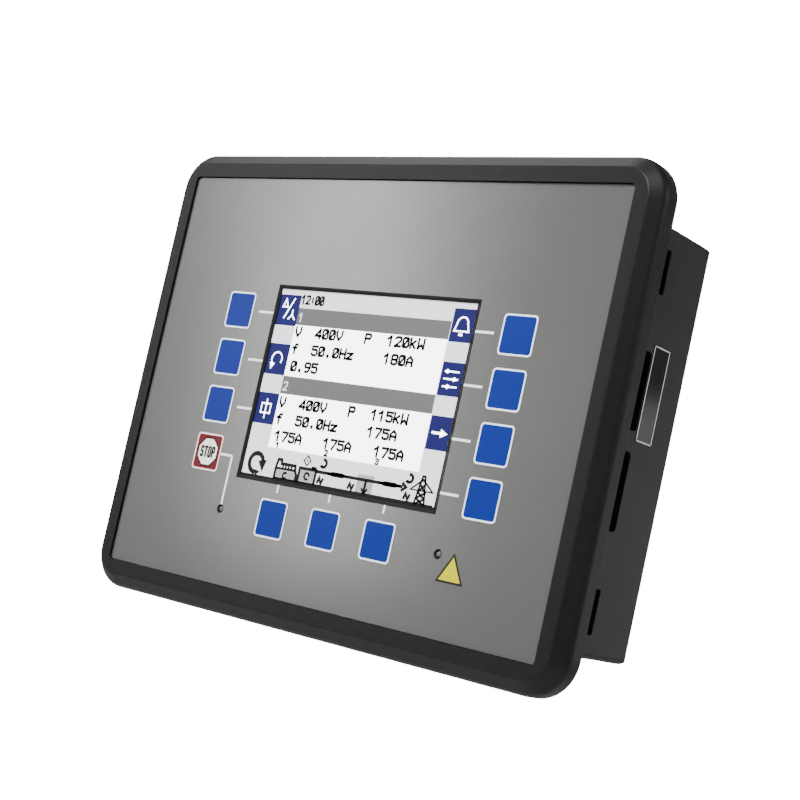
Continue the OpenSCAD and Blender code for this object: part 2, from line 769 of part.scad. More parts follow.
module alarm_lamp() {
    color([0.75, 0.75, 0.72]) lamp(LAMPS[1]);
}

module key_switch(at) {
    color([0.1, 0.1, 0.1]) difference() {
        block([at[0] - switch_w / 2, switch_y, at[1] - switch_w / 2],
              [at[0] + switch_w / 2, keypad_y, at[1] + switch_w / 2]);
        bar(at, switch_y - cut, plunger_end_y + key_travel + plunger_rest, plunger_d + 2 * plunger_clearance);
    }
}

module key_plunger(at) {
    color([0.85, 0.85, 0.83]) bar(at, plunger_tip_y, plunger_end_y, plunger_d);
}

// Hexagonal spacers whose studs hold the keypad board down
module board_spacers() {
    color("silver") for (p = SPACERS) difference() {
        union() {
            hex_bar(p, keypad_back_y, main_board_y, spacer_af);
            bar(p, keypad_y - stud_len, keypad_back_y + cut, small_screw_d);
        }
        bar(p, main_board_y - pilot_len, main_board_y + cut, small_screw_d + 2 * fit_gap);
    }
}

module main_board() {
    color("darkgreen") slab(main_board_y, main_back_y) difference() {
        round_rect(main_board_w, main_board_h, board_r);
        for (p = SPACERS) translate(p) circle(d = small_screw_d + 2 * pass_gap);
    }
}

module board_screws() {
    color("silver") for (p = SPACERS)
        screw(p, main_back_y, board_screw_len, small_screw_d, small_head_d, small_head_t);
}

// Pin strip on the keypad board
module link_header() {
    color([0.1, 0.1, 0.1]) {
        block([-link_len / 2, keypad_back_y, link_z - link_w / 2],
              [link_len / 2, keypad_back_y + link_base_t, link_z + link_w / 2]);
        for (i = [0:link_pins - 1], sz = SIDES) {
            x = (i - (link_pins - 1) / 2) * link_pitch;
            z = link_z + sz * link_pitch / 2;
            block([x - link_pin_t / 2, keypad_back_y + link_base_t - weld, z - link_pin_t / 2],
                  [x + link_pin_t / 2, keypad_back_y + link_base_t + link_pin_len, z + link_pin_t / 2]);
        }
    }
}

// Socket strip on the main board that takes the pins
module link_socket() {
    color([0.1, 0.1, 0.1]) difference() {
        block([-link_len / 2, keypad_back_y + link_base_t, link_z - link_w / 2],
              [link_len / 2, main_board_y, link_z + link_w / 2]);
        for (sz = SIDES) {
            z = link_z + sz * link_pitch / 2;
            block([link_slot_w - link_len / 2, keypad_back_y, z - link_slot_w / 2],
                  [link_len / 2 - link_slot_w, keypad_back_y + link_base_t + link_pin_len + link_slot_w / 2,
                   z + link_slot_w / 2]);
        }
    }
}

// D-shaped outline of the data sockets, drawn in Z and -Y
module d_outline(grow) {
    corner_z = socket_shell_w / 2 - socket_shell_r;
    corner_y = socket_shell_h / 2 - socket_shell_r;
    hull() for (sz = SIDES) {
        translate([sz * corner_z, corner_y]) circle(r = socket_shell_r + grow, $fn = 24);
        translate([sz * (corner_z - socket_slant), -corner_y]) circle(r = socket_shell_r + grow, $fn = 24);
    }
}

module at_socket(z) {
    translate([0, socket_y, z]) children();
}

module data_socket(z) {
    color("silver") at_socket(z) difference() {
        union() {
            block([socket_x - socket_plate_t, -socket_plate_w / 2, -socket_plate_len / 2],
                  [socket_x, socket_plate_w / 2, socket_plate_len / 2]);
            run_x(socket_x - socket_plate_t, socket_x + socket_nose) d_outline(0);
        }
        run_x(socket_x - socket_plate_t - cut, socket_x + socket_nose + cut) d_outline(-socket_shell_t);
        for (sz = SIDES) translate([socket_x - socket_plate_t - cut, 0, sz * jack_pitch / 2])
            rotate([0, 90, 0]) cylinder(d = jack_d + pass_gap, h = socket_plate_t + 2 * cut);
    }
}

// Insulating core with nine contact holes and a foot on the board
module socket_core(z) {
    rear_x = socket_x - socket_plate_t;
    color([0.08, 0.08, 0.08]) at_socket(z) difference() {
        union() {
            run_x(rear_x - weld, socket_x + socket_nose - core_setback) d_outline(-socket_shell_t - fit_gap);
            block([rear_x - core_foot_len, main_back_y - socket_y, -core_foot_w / 2],
                  [rear_x, socket_plate_w / 2 - core_foot_drop, core_foot_w / 2]);
        }
        for (row = SIDES, i = [0:(row < 0 ? 3 : 4)])
            translate([socket_x + socket_nose - contact_len, -row * socket_row / 2,
                       (i - (row < 0 ? 1.5 : 2)) * socket_pitch])
                rotate([0, 90, 0]) cylinder(d = contact_d, h = contact_len + cut, $fn = 16);
    }
}

module jack_nuts() {
    color("silver") for (z = [-opening_z, opening_z], sz = SIDES)
        translate([socket_x, socket_y, z + sz * jack_pitch / 2]) rotate([0, 90, 0]) difference() {
            union() {
                cylinder(d = jack_nut_af / cos(30), h = jack_nut_len, $fn = 6);
                translate([0, 0, -jack_stub]) cylinder(d = jack_d, h = jack_stub + weld);
            }
            translate([0, 0, jack_hole_start]) cylinder(d = jack_thread_d, h = jack_nut_len);
        }
}

// Open-fronted header that takes a terminal plug
module terminal_header(z) {
    half = terminal_len / 2;
    color([0.1, 0.35, 0.2]) difference() {
        block([header_x, main_back_y, z - half - header_wall],
              [header_x + header_depth, main_back_y + header_w, z + half + header_wall]);
        block([header_x - cut, main_back_y + header_wall, z - half + header_play],
              [header_x + header_depth - header_base, main_back_y + header_w - header_wall,
               z + half - header_play]);
    }
}

// Plug with a tongue in the header, wire ways in its face and screw holes above them
module terminal_plug(z) {
    half = terminal_len / 2;
    wall = header_wall + header_play;
    face_x = header_x - plug_head;
    color([0.12, 0.45, 0.25]) difference() {
        union() {
            block([face_x, plug_y, z - half], [header_x, plug_y + plug_w, z + half]);
            block([header_x - cut, main_back_y + wall, z - half + 2 * header_play],
                  [header_x + header_depth - header_base - plug_tongue_gap, main_back_y + header_w - wall,
                   z + half - 2 * header_play]);
        }
        for (i = [0:terminal_count - 1]) {
            zi = z + (i - (terminal_count - 1) / 2) * terminal_pitch;
            block([face_x - cut, plug_y + wire_way_y, zi - wire_way_w / 2],
                  [header_x - wire_way_rest, plug_y + wire_way_y + wire_way_h, zi + wire_way_w / 2]);
            bar([face_x + plug_head / 2, zi], plug_y + terminal_screw_y, plug_y + plug_w + cut,
                terminal_screw_d + 2 * fit_gap);
        }
    }
}

module terminal_screws() {
    x = header_x - plug_head / 2;
    top_y = plug_y + terminal_screw_y + terminal_screw_len;
    color("silver") for (z = [-opening_z, opening_z], i = [0:terminal_count - 1]) {
        zi = z + (i - (terminal_count - 1) / 2) * terminal_pitch;
        difference() {
            bar([x, zi], plug_y + terminal_screw_y, top_y, terminal_screw_d);
            block([x - terminal_screw_d, top_y - terminal_slot_t, zi - terminal_slot_w / 2],
                  [x + terminal_screw_d, top_y + cut, zi + terminal_slot_w / 2]);
        }
    }
}

// Chips on the rear face of the main board: place as a share of the board, width, height, thickness
module board_chips() {
    color([0.12, 0.12, 0.13])
        for (c = [[-0.05, 0.09, 28, 28, 1.8], [0.15, 0.17, 20, 12, 1.2], [0.15, 0.03, 20, 12, 1.2],
                  [-0.22, 0.21, 10, 14, 1.6], [-0.22, 0.06, 10, 14, 1.6], [0.32, -0.26, 9, 12, 2]]) {
            x = c[0] * main_board_w;
            z = c[1] * main_board_h;
            block([x - c[2] / 2, main_back_y, z - c[3] / 2],
                  [x + c[2] / 2, main_back_y + c[4], z + c[3] / 2]);
        }
}

// Electrolytic capacitors on the main board: place as a share of the board, diameter and height
module capacitors() {
    color("silver")
        for (c = [[-0.38, -0.36, 12.5, 20], [-0.31, -0.36, 12.5, 20],
                  [-0.24, -0.39, 8, 12], [0.27, 0.31, 8, 12]])
            bar([c[0] * main_board_w, c[1] * main_board_h], main_back_y, main_back_y + c[3], c[2]);
}

// Wound choke: ferrite ends with a winding between them
module power_choke() {
    at = [-0.13 * main_board_w, -0.34 * main_board_h];
    end_d = 16;
    end_t = 2;
    winding_d = 13;
    winding_len = 6;
    color([0.25, 0.22, 0.2]) {
        bar(at, main_back_y, main_back_y + end_t, end_d);
        bar(at, main_back_y + end_t, main_back_y + end_t + winding_len, winding_d);
        bar(at, main_back_y + end_t + winding_len, main_back_y + 2 * end_t + winding_len, end_d);
    }
}

// Section of the housing with round rear corners, drawn with depth along -Y
module rear_section(half, r) {
    mirror([0, 1]) {
        translate([-half, 0]) square([2 * half, body_depth - r]);
        translate([-half + r, 0]) square([2 * (half - r), body_depth]);
        for (s = SIDES) translate([s * (half - r), body_depth - r]) circle(r);
    }
}

module housing_blank() {
    intersection() {
        slab(0, body_depth) round_rect(body_w, body_h, body_corner_r);
        run_x(-body_w / 2, body_w / 2) rear_section(body_h / 2, rear_edge_r);
        run_z(body_h) rear_section(body_w / 2, rear_side_r);
    }
}

// Openings in both side walls: two for connectors and two for the fixing clamps
module side_openings() {
    for (sx = SIDES, sz = SIDES) {
        x0 = sx * body_w / 2 - wall_t - cut;
        x1 = sx * body_w / 2 + wall_t + cut;
        translate([0, opening_rear_y - opening_w / 2, sz * opening_z])
            run_x(x0, x1) round_rect(opening_len, opening_w, opening_r);
        translate([0, clamp_slot_y - clamp_slot_w / 2, sz * clamp_slot_z])
            run_x(x0, x1) round_rect(clamp_slot_len, clamp_slot_w, clamp_slot_r);
    }
}

module rear_housing() {
    color([0.13, 0.13, 0.14]) difference() {
        union() {
            difference() {
                housing_blank();
                slab(-cut, body_depth - wall_t)
                    round_rect(body_w - 2 * wall_t, body_h - 2 * wall_t, housing_inner_r);
            }
            for (p = HOUSING_SCREWS) bar(p, collar_len, body_depth - wall_t / 2, housing_tube_d);
        }
        side_openings();
        slab(body_depth - rear_field_t, body_depth + cut)
            round_rect(rear_field_w, rear_field_h, rear_field_r);
        for (p = HOUSING_SCREWS) {
            bar(p, collar_len - cut, body_depth, housing_screw_d + 2 * housing_head_gap);
            bar(p, collar_len + housing_web_t, body_depth + cut, housing_head_d + 2 * housing_head_gap);
        }
    }
}

module housing_screws() {
    color([0.2, 0.2, 0.2]) for (p = HOUSING_SCREWS)
        screw(p, collar_len + housing_web_t, housing_screw_len,
              housing_screw_d, housing_head_d, housing_head_t);
}

module side_label() {
    y0 = opening_rear_y + label_gap;
    color([0.05, 0.05, 0.05])
        block([body_w / 2, y0, opening_z - label_len / 2],
              [body_w / 2 + label_t, y0 + label_w, opening_z + label_len / 2]);
}

front_bezel();
flange_gasket();
nut_inserts();
front_overlay();
display_window();
lcd_seal();
lcd_frame();
lcd_glass();
lcd_backlight();
lcd_screws();
keypad_board();
keypad_screws();
stop_lamp();
alarm_lamp();
for (k = KEYS) {
    key_switch([k[1], k[2]]);
    key_plunger([k[1], k[2]]);
}
board_spacers();
main_board();
board_screws();
link_header();
link_socket();
data_socket(opening_z);  // data_socket_upper
data_socket(-opening_z);  // data_socket_lower
socket_core(opening_z);  // socket_core_upper
socket_core(-opening_z);  // socket_core_lower
jack_nuts();
terminal_header(opening_z);  // terminal_header_upper
terminal_header(-opening_z);  // terminal_header_lower
terminal_plug(opening_z);  // terminal_plug_upper
terminal_plug(-opening_z);  // terminal_plug_lower
terminal_screws();
board_chips();
capacitors();
power_choke();
rear_housing();
housing_screws();
side_label();
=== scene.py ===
"""Remote alarm control panel: finishes, printed marks, display picture, light and camera.

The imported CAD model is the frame, in metres: X to the right, Y into the door, Z up.
Flat print is laid out in millimetres, and the display's picture in its own dots.
"""
import json
import math

import bpy
from mathutils import Matrix, Vector


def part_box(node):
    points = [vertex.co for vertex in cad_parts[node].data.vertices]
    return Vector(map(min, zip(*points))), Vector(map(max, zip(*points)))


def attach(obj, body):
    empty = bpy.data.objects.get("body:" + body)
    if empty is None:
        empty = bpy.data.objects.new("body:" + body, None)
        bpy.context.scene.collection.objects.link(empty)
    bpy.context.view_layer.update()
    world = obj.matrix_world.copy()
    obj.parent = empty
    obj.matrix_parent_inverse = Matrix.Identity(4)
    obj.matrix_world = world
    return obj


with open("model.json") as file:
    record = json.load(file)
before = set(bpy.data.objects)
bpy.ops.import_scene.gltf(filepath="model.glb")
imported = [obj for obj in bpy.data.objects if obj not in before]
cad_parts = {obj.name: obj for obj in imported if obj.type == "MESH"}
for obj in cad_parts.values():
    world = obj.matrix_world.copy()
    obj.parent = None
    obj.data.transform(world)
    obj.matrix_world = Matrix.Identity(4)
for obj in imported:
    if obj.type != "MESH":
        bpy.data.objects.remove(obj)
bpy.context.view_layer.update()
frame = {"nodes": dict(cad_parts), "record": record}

MM = 0.001
PANEL = "panel"
MATERIAL_SLOTS = {part["node"]: part["material_slot"] for part in frame["record"]["subparts"]}


# Shared finish effects. A noise scale is per metre

NOISE_MEAN = 0.5
TONE_DRIFT_SCALE = 34.0
FILM_PORE_SCALE = 5200.0
FILM_CLOUD_SCALE = 14.0
FILM_GLOSS_WANDER = 0.08
STREAK_SCALE = 900.0
STREAK_STRETCH = (1, 1, 0.05)
PLATING_CLOUD_SCALE = 90.0
PLATING_CLOUD_EDGES = (0.35, 0.65)
SOLDER_CLOUD_SCALE = 60.0
SOLDER_CLOUD_EDGES = (0.3, 0.7)
SOLDER_ROUGHNESS = (0.28, 0.42)
TRACK_WIDTH = 0.012
BLACK = (0, 0, 0, 1)
WHITE = (1, 1, 1, 1)


def effect(name, inputs, outputs):
    """New shader node group with named inputs and outputs. Returns the tree, its input and output nodes."""
    tree = bpy.data.node_groups.new(name, "ShaderNodeTree")
    for label, kind, default in inputs:
        socket = tree.interface.new_socket(label, in_out="INPUT", socket_type="NodeSocket" + kind)
        socket.default_value = default
    for label, kind in outputs:
        tree.interface.new_socket(label, in_out="OUTPUT", socket_type="NodeSocket" + kind)
    return tree, tree.nodes.new("NodeGroupInput"), tree.nodes.new("NodeGroupOutput")


def feed(tree, socket, source):
    """Sets a socket to a plain value, or links another socket to it."""
    if isinstance(source, bpy.types.NodeSocket):
        tree.links.new(source, socket)
    else:
        socket.default_value = source


def calculate(tree, operation, *values):
    node = tree.nodes.new("ShaderNodeMath")
    node.operation = operation
    for socket, value in zip(node.inputs, values):
        feed(tree, socket, value)
    return node.outputs[0]


def remap(tree, value, low, high, to_low, to_high):
    node = tree.nodes.new("ShaderNodeMapRange")
    for label, source in (("Value", value), ("From Min", low), ("From Max", high),
                          ("To Min", to_low), ("To Max", to_high)):
        feed(tree, node.inputs[label], source)
    return node.outputs["Result"]


def blend_colours(tree, factor, first, second):
    node = tree.nodes.new("ShaderNodeMix")
    node.data_type = "RGBA"
    feed(tree, node.inputs[0], factor)
    feed(tree, node.inputs[6], first)
    feed(tree, node.inputs[7], second)
    return node.outputs[2]


def brighten(tree, colour, factor):
    """The colour times a factor that changes over the surface."""
    node = tree.nodes.new("ShaderNodeVectorMath")
    node.operation = "SCALE"
    feed(tree, node.inputs["Vector"], colour)
    feed(tree, node.inputs["Scale"], factor)
    return node.outputs["Vector"]


def noise(tree, scale, detail, stretch=(1, 1, 1)):
    """Noise in object coordinates, at a scale per metre."""
    place = tree.nodes.new("ShaderNodeTexCoord")
    mapping = tree.nodes.new("ShaderNodeMapping")
    mapping.inputs["Scale"].default_value = stretch
    texture = tree.nodes.new("ShaderNodeTexNoise")
    texture.inputs["Detail"].default_value = detail
    feed(tree, texture.inputs["Scale"], scale)
    tree.links.new(place.outputs["Object"], mapping.inputs["Vector"])
    tree.links.new(mapping.outputs["Vector"], texture.inputs["Vector"])
    return texture.outputs["Fac"]


def about_zero(tree, value):
    """Noise that swings to both sides of zero."""
    return calculate(tree, "SUBTRACT", value, NOISE_MEAN)


def moulded_grain():
    """Spark-eroded grain of a moulding: fine bumps, and a slow drift of tone and gloss."""
    tree, given, result = effect(
        "Moulded grain",
        [("Color", "Color", (0.05, 0.05, 0.05, 1)), ("Tone Drift", "Float", 0.12),
         ("Roughness", "Float", 0.45), ("Gloss Drift", "Float", 0.06),
         ("Grains Per Metre", "Float", 2600.0)],
        [("Color", "Color"), ("Roughness", "Float"), ("Height", "Float")])
    grain = noise(tree, given.outputs["Grains Per Metre"], detail=3)
    drift = about_zero(tree, noise(tree, TONE_DRIFT_SCALE, detail=3))
    tone = calculate(tree, "MULTIPLY_ADD", drift, given.outputs["Tone Drift"], 1.0)
    gloss = calculate(tree, "MULTIPLY_ADD", drift, given.outputs["Gloss Drift"], given.outputs["Roughness"])
    feed(tree, result.inputs["Color"], brighten(tree, given.outputs["Color"], tone))
    feed(tree, result.inputs["Roughness"], gloss)
    feed(tree, result.inputs["Height"], grain)
    return tree


def film_texture():
    """Fine velvet texture of a printed film or ink."""
    tree, given, result = effect(
        "Film texture",
        [("Color", "Color", (0.4, 0.4, 0.4, 1)), ("Speckle", "Float", 0.05), ("Roughness", "Float", 0.4)],
        [("Color", "Color"), ("Roughness", "Float"), ("Height", "Float")])
    pores = noise(tree, FILM_PORE_SCALE, detail=2)
    cloud = noise(tree, FILM_CLOUD_SCALE, detail=2)
    spread = calculate(tree, "MULTIPLY", about_zero(tree, pores), given.outputs["Speckle"])
    tone = calculate(tree, "ADD", spread, 1.0)
    wander = calculate(tree, "MULTIPLY", about_zero(tree, cloud), FILM_GLOSS_WANDER)
    feed(tree, result.inputs["Color"], brighten(tree, given.outputs["Color"], tone))
    feed(tree, result.inputs["Roughness"], calculate(tree, "ADD", wander, given.outputs["Roughness"]))
    feed(tree, result.inputs["Height"], pores)
    return tree


def plated_metal():
    """Rolled and plated metal: fine streaks along one way, and cloudy spots in the plating."""
    tree, given, result = effect(
        "Plated metal",
        [("Color", "Color", (0.7, 0.7, 0.7, 1)), ("Cloud Color", "Color", (0.6, 0.6, 0.6, 1)),
         ("Roughness", "Float", 0.3), ("Streak Strength", "Float", 0.15)],
        [("Color", "Color"), ("Roughness", "Float"), ("Height", "Float")])
    streaks = noise(tree, STREAK_SCALE, detail=4, stretch=STREAK_STRETCH)
    spots = noise(tree, PLATING_CLOUD_SCALE, detail=3)
    clouds = remap(tree, spots, *PLATING_CLOUD_EDGES, 0.0, 1.0)
    colour = blend_colours(tree, clouds, given.outputs["Color"], given.outputs["Cloud Color"])
    uneven = calculate(tree, "MULTIPLY", about_zero(tree, streaks), given.outputs["Streak Strength"])
    feed(tree, result.inputs["Color"], colour)
    feed(tree, result.inputs["Roughness"], calculate(tree, "ADD", uneven, given.outputs["Roughness"]))
    feed(tree, result.inputs["Height"], streaks)
    return tree


def board_tracks():
    """Solder mask over copper: rows of tracks that stand a little proud, with mottled green between them."""
    tree, given, result = effect(
        "Board tracks",
        [("Mask Color", "Color", (0.01, 0.08, 0.03, 1)), ("Track Color", "Color", (0.02, 0.16, 0.06, 1)),
         ("Tracks Per Metre", "Float", 380.0)],
        [("Color", "Color"), ("Roughness", "Float"), ("Height", "Float")])
    place = tree.nodes.new("ShaderNodeTexCoord")
    turn = tree.nodes.new("ShaderNodeMapping")
    turn.inputs["Rotation"].default_value = (math.pi / 2, 0, 0)
    brick = tree.nodes.new("ShaderNodeTexBrick")
    brick.inputs["Mortar Size"].default_value = TRACK_WIDTH
    brick.inputs["Color1"].default_value = BLACK
    brick.inputs["Color2"].default_value = BLACK
    brick.inputs["Mortar"].default_value = WHITE
    tree.links.new(place.outputs["Object"], turn.inputs["Vector"])
    tree.links.new(turn.outputs["Vector"], brick.inputs["Vector"])
    feed(tree, brick.inputs["Scale"], given.outputs["Tracks Per Metre"])
    tracks = brick.outputs["Color"]
    colour = blend_colours(tree, tracks, given.outputs["Mask Color"], given.outputs["Track Color"])
    spots = noise(tree, SOLDER_CLOUD_SCALE, detail=2)
    mottle = remap(tree, spots, *SOLDER_CLOUD_EDGES, *SOLDER_ROUGHNESS)
    feed(tree, result.inputs["Color"], colour)
    feed(tree, result.inputs["Roughness"], mottle)
    feed(tree, result.inputs["Height"], tracks)
    return tree


GRAIN = moulded_grain()
FILM = film_texture()
PLATING = plated_metal()
TRACKS = board_tracks()


# Materials: one Principled shader each, fed by one of the effects

def finish_of(name, group, values, bump, sockets):
    """New material. values go on the effect's inputs, bump is its depth in metres, sockets on the shader."""
    material = bpy.data.materials.new(name)
    material.use_nodes = True
    tree = material.node_tree
    shader = tree.nodes["Principled BSDF"]
    for label, value in sockets.items():
        shader.inputs[label].default_value = value
    look = tree.nodes.new("ShaderNodeGroup")
    look.node_tree = group
    for label, value in values.items():
        look.inputs[label].default_value = value
    relief = tree.nodes.new("ShaderNodeBump")
    relief.inputs["Strength"].default_value = 1.0
    relief.inputs["Distance"].default_value = bump
    tree.links.new(look.outputs["Color"], shader.inputs["Base Color"])
    tree.links.new(look.outputs["Roughness"], shader.inputs["Roughness"])
    tree.links.new(look.outputs["Height"], relief.inputs["Height"])
    tree.links.new(relief.outputs["Normal"], shader.inputs["Normal"])
    return material


def shine(level):
    """Strength of a surface's plain reflection, where it isn't the usual one."""
    return {"Specular IOR Level": level}


def moulding(name, colour, roughness=0.45, bump=0.00002, grains=2600.0, **sockets):
    values = {"Color": (*colour, 1), "Roughness": roughness, "Grains Per Metre": grains}
    return finish_of(name, GRAIN, values, bump, sockets)


def film(name, colour, roughness=0.4, speckle=0.05, bump=0.000004, **sockets):
    values = {"Color": (*colour, 1), "Roughness": roughness, "Speckle": speckle}
    return finish_of(name, FILM, values, bump, sockets)


def metal(name, colour, cloud, roughness=0.3, bump=0.000005):
    values = {"Color": (*colour, 1), "Cloud Color": (*cloud, 1), "Roughness": roughness}
    return finish_of(name, PLATING, values, bump, {"Metallic": 1.0})


def lit_film(name, colour, glow):
    """A field of the display's picture: printed colour with the backlight's glow."""
    material = film(name, colour, roughness=0.6, speckle=0.02, bump=0.0, **shine(0.2))
    shader = material.node_tree.nodes["Principled BSDF"]
    shader.inputs["Emission Color"].default_value = (*colour, 1)
    shader.inputs["Emission Strength"].default_value = glow
    return material


FINISHES = {
    "bezel": moulding("Black bezel moulding", (0.005, 0.005, 0.0055), 0.42, **shine(0.16)),
    "housing": moulding("Black housing moulding", (0.009, 0.009, 0.0095), 0.46, grains=2000.0,
                        **shine(0.2)),
    "gasket": moulding("Foam gasket", (0.02, 0.02, 0.02), 0.9, bump=0.0001, grains=900.0),
    "insert": metal("Turned brass", (0.62, 0.43, 0.17), (0.5, 0.34, 0.14)),
    "overlay": film("Grey overlay film", (0.068, 0.068, 0.0653), 0.21, speckle=0.07, bump=0.000006),
    "window": moulding("Clear pane", (0.75, 0.78, 0.78), 0.08, bump=0.0, **{"Transmission Weight": 0.9}),
    "sheet_metal": metal("Zinc plated sheet", (0.62, 0.62, 0.6), (0.5, 0.52, 0.54), 0.36),
    "display_glass": moulding("Display glass", (0.3, 0.34, 0.33), 0.12, bump=0.0),
    "white_moulding": moulding("White light guide", (0.7, 0.7, 0.67), 0.35),
    "screw": metal("Zinc plated screw", (0.66, 0.65, 0.6), (0.56, 0.56, 0.54)),
    "dark_screw": metal("Black plated screw", (0.05, 0.05, 0.05), (0.09, 0.09, 0.09), 0.4),
    "circuit_board": finish_of("Green board", TRACKS, {}, bump=0.00003, sockets={"Coat Weight": 0.3}),
    "lamp": moulding("Clear lamp", (0.1, 0.1, 0.096), 0.45, bump=0.0, **{"Transmission Weight": 0.2}),
    "black_moulding": moulding("Black connector moulding", (0.012, 0.012, 0.012), 0.4),
    "plunger": moulding("Pale plunger", (0.62, 0.62, 0.58), 0.4),
    "connector_shell": metal("Tin plated shell", (0.6, 0.58, 0.53), (0.5, 0.5, 0.48), 0.32),
    "terminal": moulding("Green terminal moulding", (0.015, 0.16, 0.06), 0.38),
    "chip": moulding("Chip moulding", (0.02, 0.02, 0.021), 0.55, grains=5000.0),
    "capacitor": metal("Aluminium can", (0.7, 0.7, 0.72), (0.62, 0.62, 0.65), 0.28),
    "ferrite": moulding("Sintered ferrite", (0.035, 0.03, 0.028), 0.6, bump=0.00004, grains=1500.0),
    "label": film("Black label film", (0.001, 0.001, 0.001), 0.07, speckle=0.1, **shine(0.2)),
}
INKS = {
    "white": film("White print", (0.86, 0.87, 0.88), 0.42),
    "key blue": film("Blue key print", (0.0, 0.012, 0.17), 0.42, speckle=0.1, **shine(0.14)),
    "stop red": film("Red key print", (0.11, 0.006, 0.009), 0.42, speckle=0.1, **shine(0.14)),
    "black": film("Black print", (0.004, 0.004, 0.004), 0.45, **shine(0.2)),
    "yellow": film("Yellow print", (0.52, 0.47, 0.0), 0.5, **shine(0.0)),
    "pale edge": film("Pale key outline", (0.8, 0.9, 1.0), 0.42),
    "pink edge": film("Pale stop outline", (1.0, 0.68, 0.68), 0.42),
    "dark red": film("Dark red print", (0.02, 0.003, 0.004), 0.45, **shine(0.14)),
    "lamp ring": film("Dark lamp ring", (0.012, 0.012, 0.012), 0.45, **shine(0.2)),
}
PICTURE = {
    "ground": lit_film("Display grey", (0.6, 0.61, 0.64), 1.1),
    "white": lit_film("Display white", (0.95, 0.96, 0.97), 4.4),
    "band": lit_film("Display band", (0.1, 0.1, 0.106), 0.28),
    "blue": lit_film("Display blue", (0.004, 0.004, 0.075), 0.3),
    "black": lit_film("Display black", (0.002, 0.002, 0.003), 0.0),
    "hatch": lit_film("Display hatch", (0.3, 0.305, 0.32), 0.4),
}

for node_name, node_object in frame["nodes"].items():
    node_object.data.materials.clear()
    node_object.data.materials.append(FINISHES[MATERIAL_SLOTS[node_name]])


# Flat shapes in X and Z, in millimetres, drawn anticlockwise as seen from the front

CORNER_STEPS = 6
LEAST_MITRE = 0.5


def rectangle(x0, z0, x1, z1):
    return [(x0, z0), (x1, z0), (x1, z1), (x0, z1)]


def arc(cx, cz, radius, start, end, steps=16):
    """Points along an arc, with its angles in degrees from +X towards +Z."""
    turns = [math.radians(start + (end - start) * i / steps) for i in range(steps + 1)]
    return [(cx + radius * math.cos(t), cz + radius * math.sin(t)) for t in turns]


def regular(cx, cz, radius, corners, first=0.0):
    """Corners of a regular polygon, the first of them at an angle in degrees."""
    return arc(cx, cz, radius, first, first + 360 - 360 / corners, corners - 1)


def rounded(cx, cz, w, h, r):
    """Rectangle with round corners, about its centre."""
    corners = ((1, 1, 0), (-1, 1, 90), (-1, -1, 180), (1, -1, 270))
    return [point for sx, sz, turn in corners
            for point in arc(cx + sx * (w / 2 - r), cz + sz * (h / 2 - r), r, turn, turn + 90, CORNER_STEPS)]


def band(outer, inner):
    """Quads between two closed outlines with as many points each."""
    count = len(outer)
    return [[outer[i], outer[(i + 1) % count], inner[(i + 1) % count], inner[i]] for i in range(count)]


def line(points, width, closed=False):
    """Line of constant width with mitred corners, as quads."""
    count = len(points)
    sides = []
    for i, (x, z) in enumerate(points):
        before = points[i - 1] if closed or i else None
        after = points[(i + 1) % count] if closed or i < count - 1 else None
        ways = [Vector(b) - Vector(a) for a, b in ((before, (x, z)), ((x, z), after)) if a and b]
        ways = [way.normalized() for way in ways]
        along = sum(ways, Vector((0, 0))).normalized()
        reach = width / 2 / max(abs(along.dot(ways[0])), LEAST_MITRE)
        across = Vector((-along.y, along.x)) * reach
        sides.append((Vector((x, z)) + across, Vector((x, z)) - across))
    pairs = list(zip(sides, sides[1:] + sides[:1]))[:None if closed else count - 1]
    return [[tuple(a[1]), tuple(b[1]), tuple(b[0]), tuple(a[0])] for a, b in pairs]


def flat_piece(name, vertices, faces, material):
    """New flat piece that rides on the panel, from vertices in metres."""
    mesh = bpy.data.meshes.new(name)
    mesh.from_pydata(vertices, [], faces)
    mesh.materials.append(material)
    piece = bpy.data.objects.new(name, mesh)
    bpy.context.scene.collection.objects.link(piece)
    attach(piece, PANEL)


def printed(name, shapes, y, material):
    """One layer of print: flat faces that look to the front, at a depth y in millimetres."""
    vertices = [(x * MM, y * MM, z * MM) for shape in shapes for x, z in shape]
    faces = []
    first = 0
    for shape in shapes:
        faces.append(list(range(first, first + len(shape))))
        first += len(shape)
    flat_piece(name, vertices, faces, material)


# Lettering on a cell six units wide and eight high: each pair of digits is a point

CELL_UNITS_W = 6
CELL_UNITS_H = 8
SHARP_TURN = -0.05
CHARACTERS = {
    "0": "10 50 61 67 58 18 07 01 10, 11 57",
    "1": "06 38 30",
    "2": "07 18 58 67 65 00 60",
    "3": "07 18 58 67 65 54 24, 54 63 61 50 10 01",
    "4": "50 58 02 62",
    "5": "68 08 05 55 64 61 50 10 01",
    "7": "08 68 67 20",
    "8": "14 05 07 18 58 67 65 54 14 03 01 10 50 61 63 54",
    "9": "10 40 63 67 58 18 07 05 14 64",
    "A": "00 05 38 65 60, 03 63",
    "H": "08 00, 68 60, 04 64",
    "O": "10 50 61 67 58 18 07 01 10",
    "P": "00 08 58 67 65 54 04",
    "S": "67 58 18 07 05 14 54 63 61 50 10 01",
    "T": "08 68, 38 30",
    "V": "08 04 30 64 68",
    "W": "08 00 33 60 68",
    "f": "30 37 48 68, 15 55",
    "k": "08 00, 56 02, 23 50",
    "z": "05 65 00 60",
    ".": "20 30 31 21 20",
    ":": "32 33, 35 36",
}


def capped_line(points, width):
    """Line that reaches half its width past both ends."""
    first, second, before_last, last = (Vector(points[i]) for i in (0, 1, -2, -1))
    start = first + (first - second).normalized() * width / 2
    end = last + (last - before_last).normalized() * width / 2
    return line([tuple(start), *points[1:-1], tuple(end)], width)


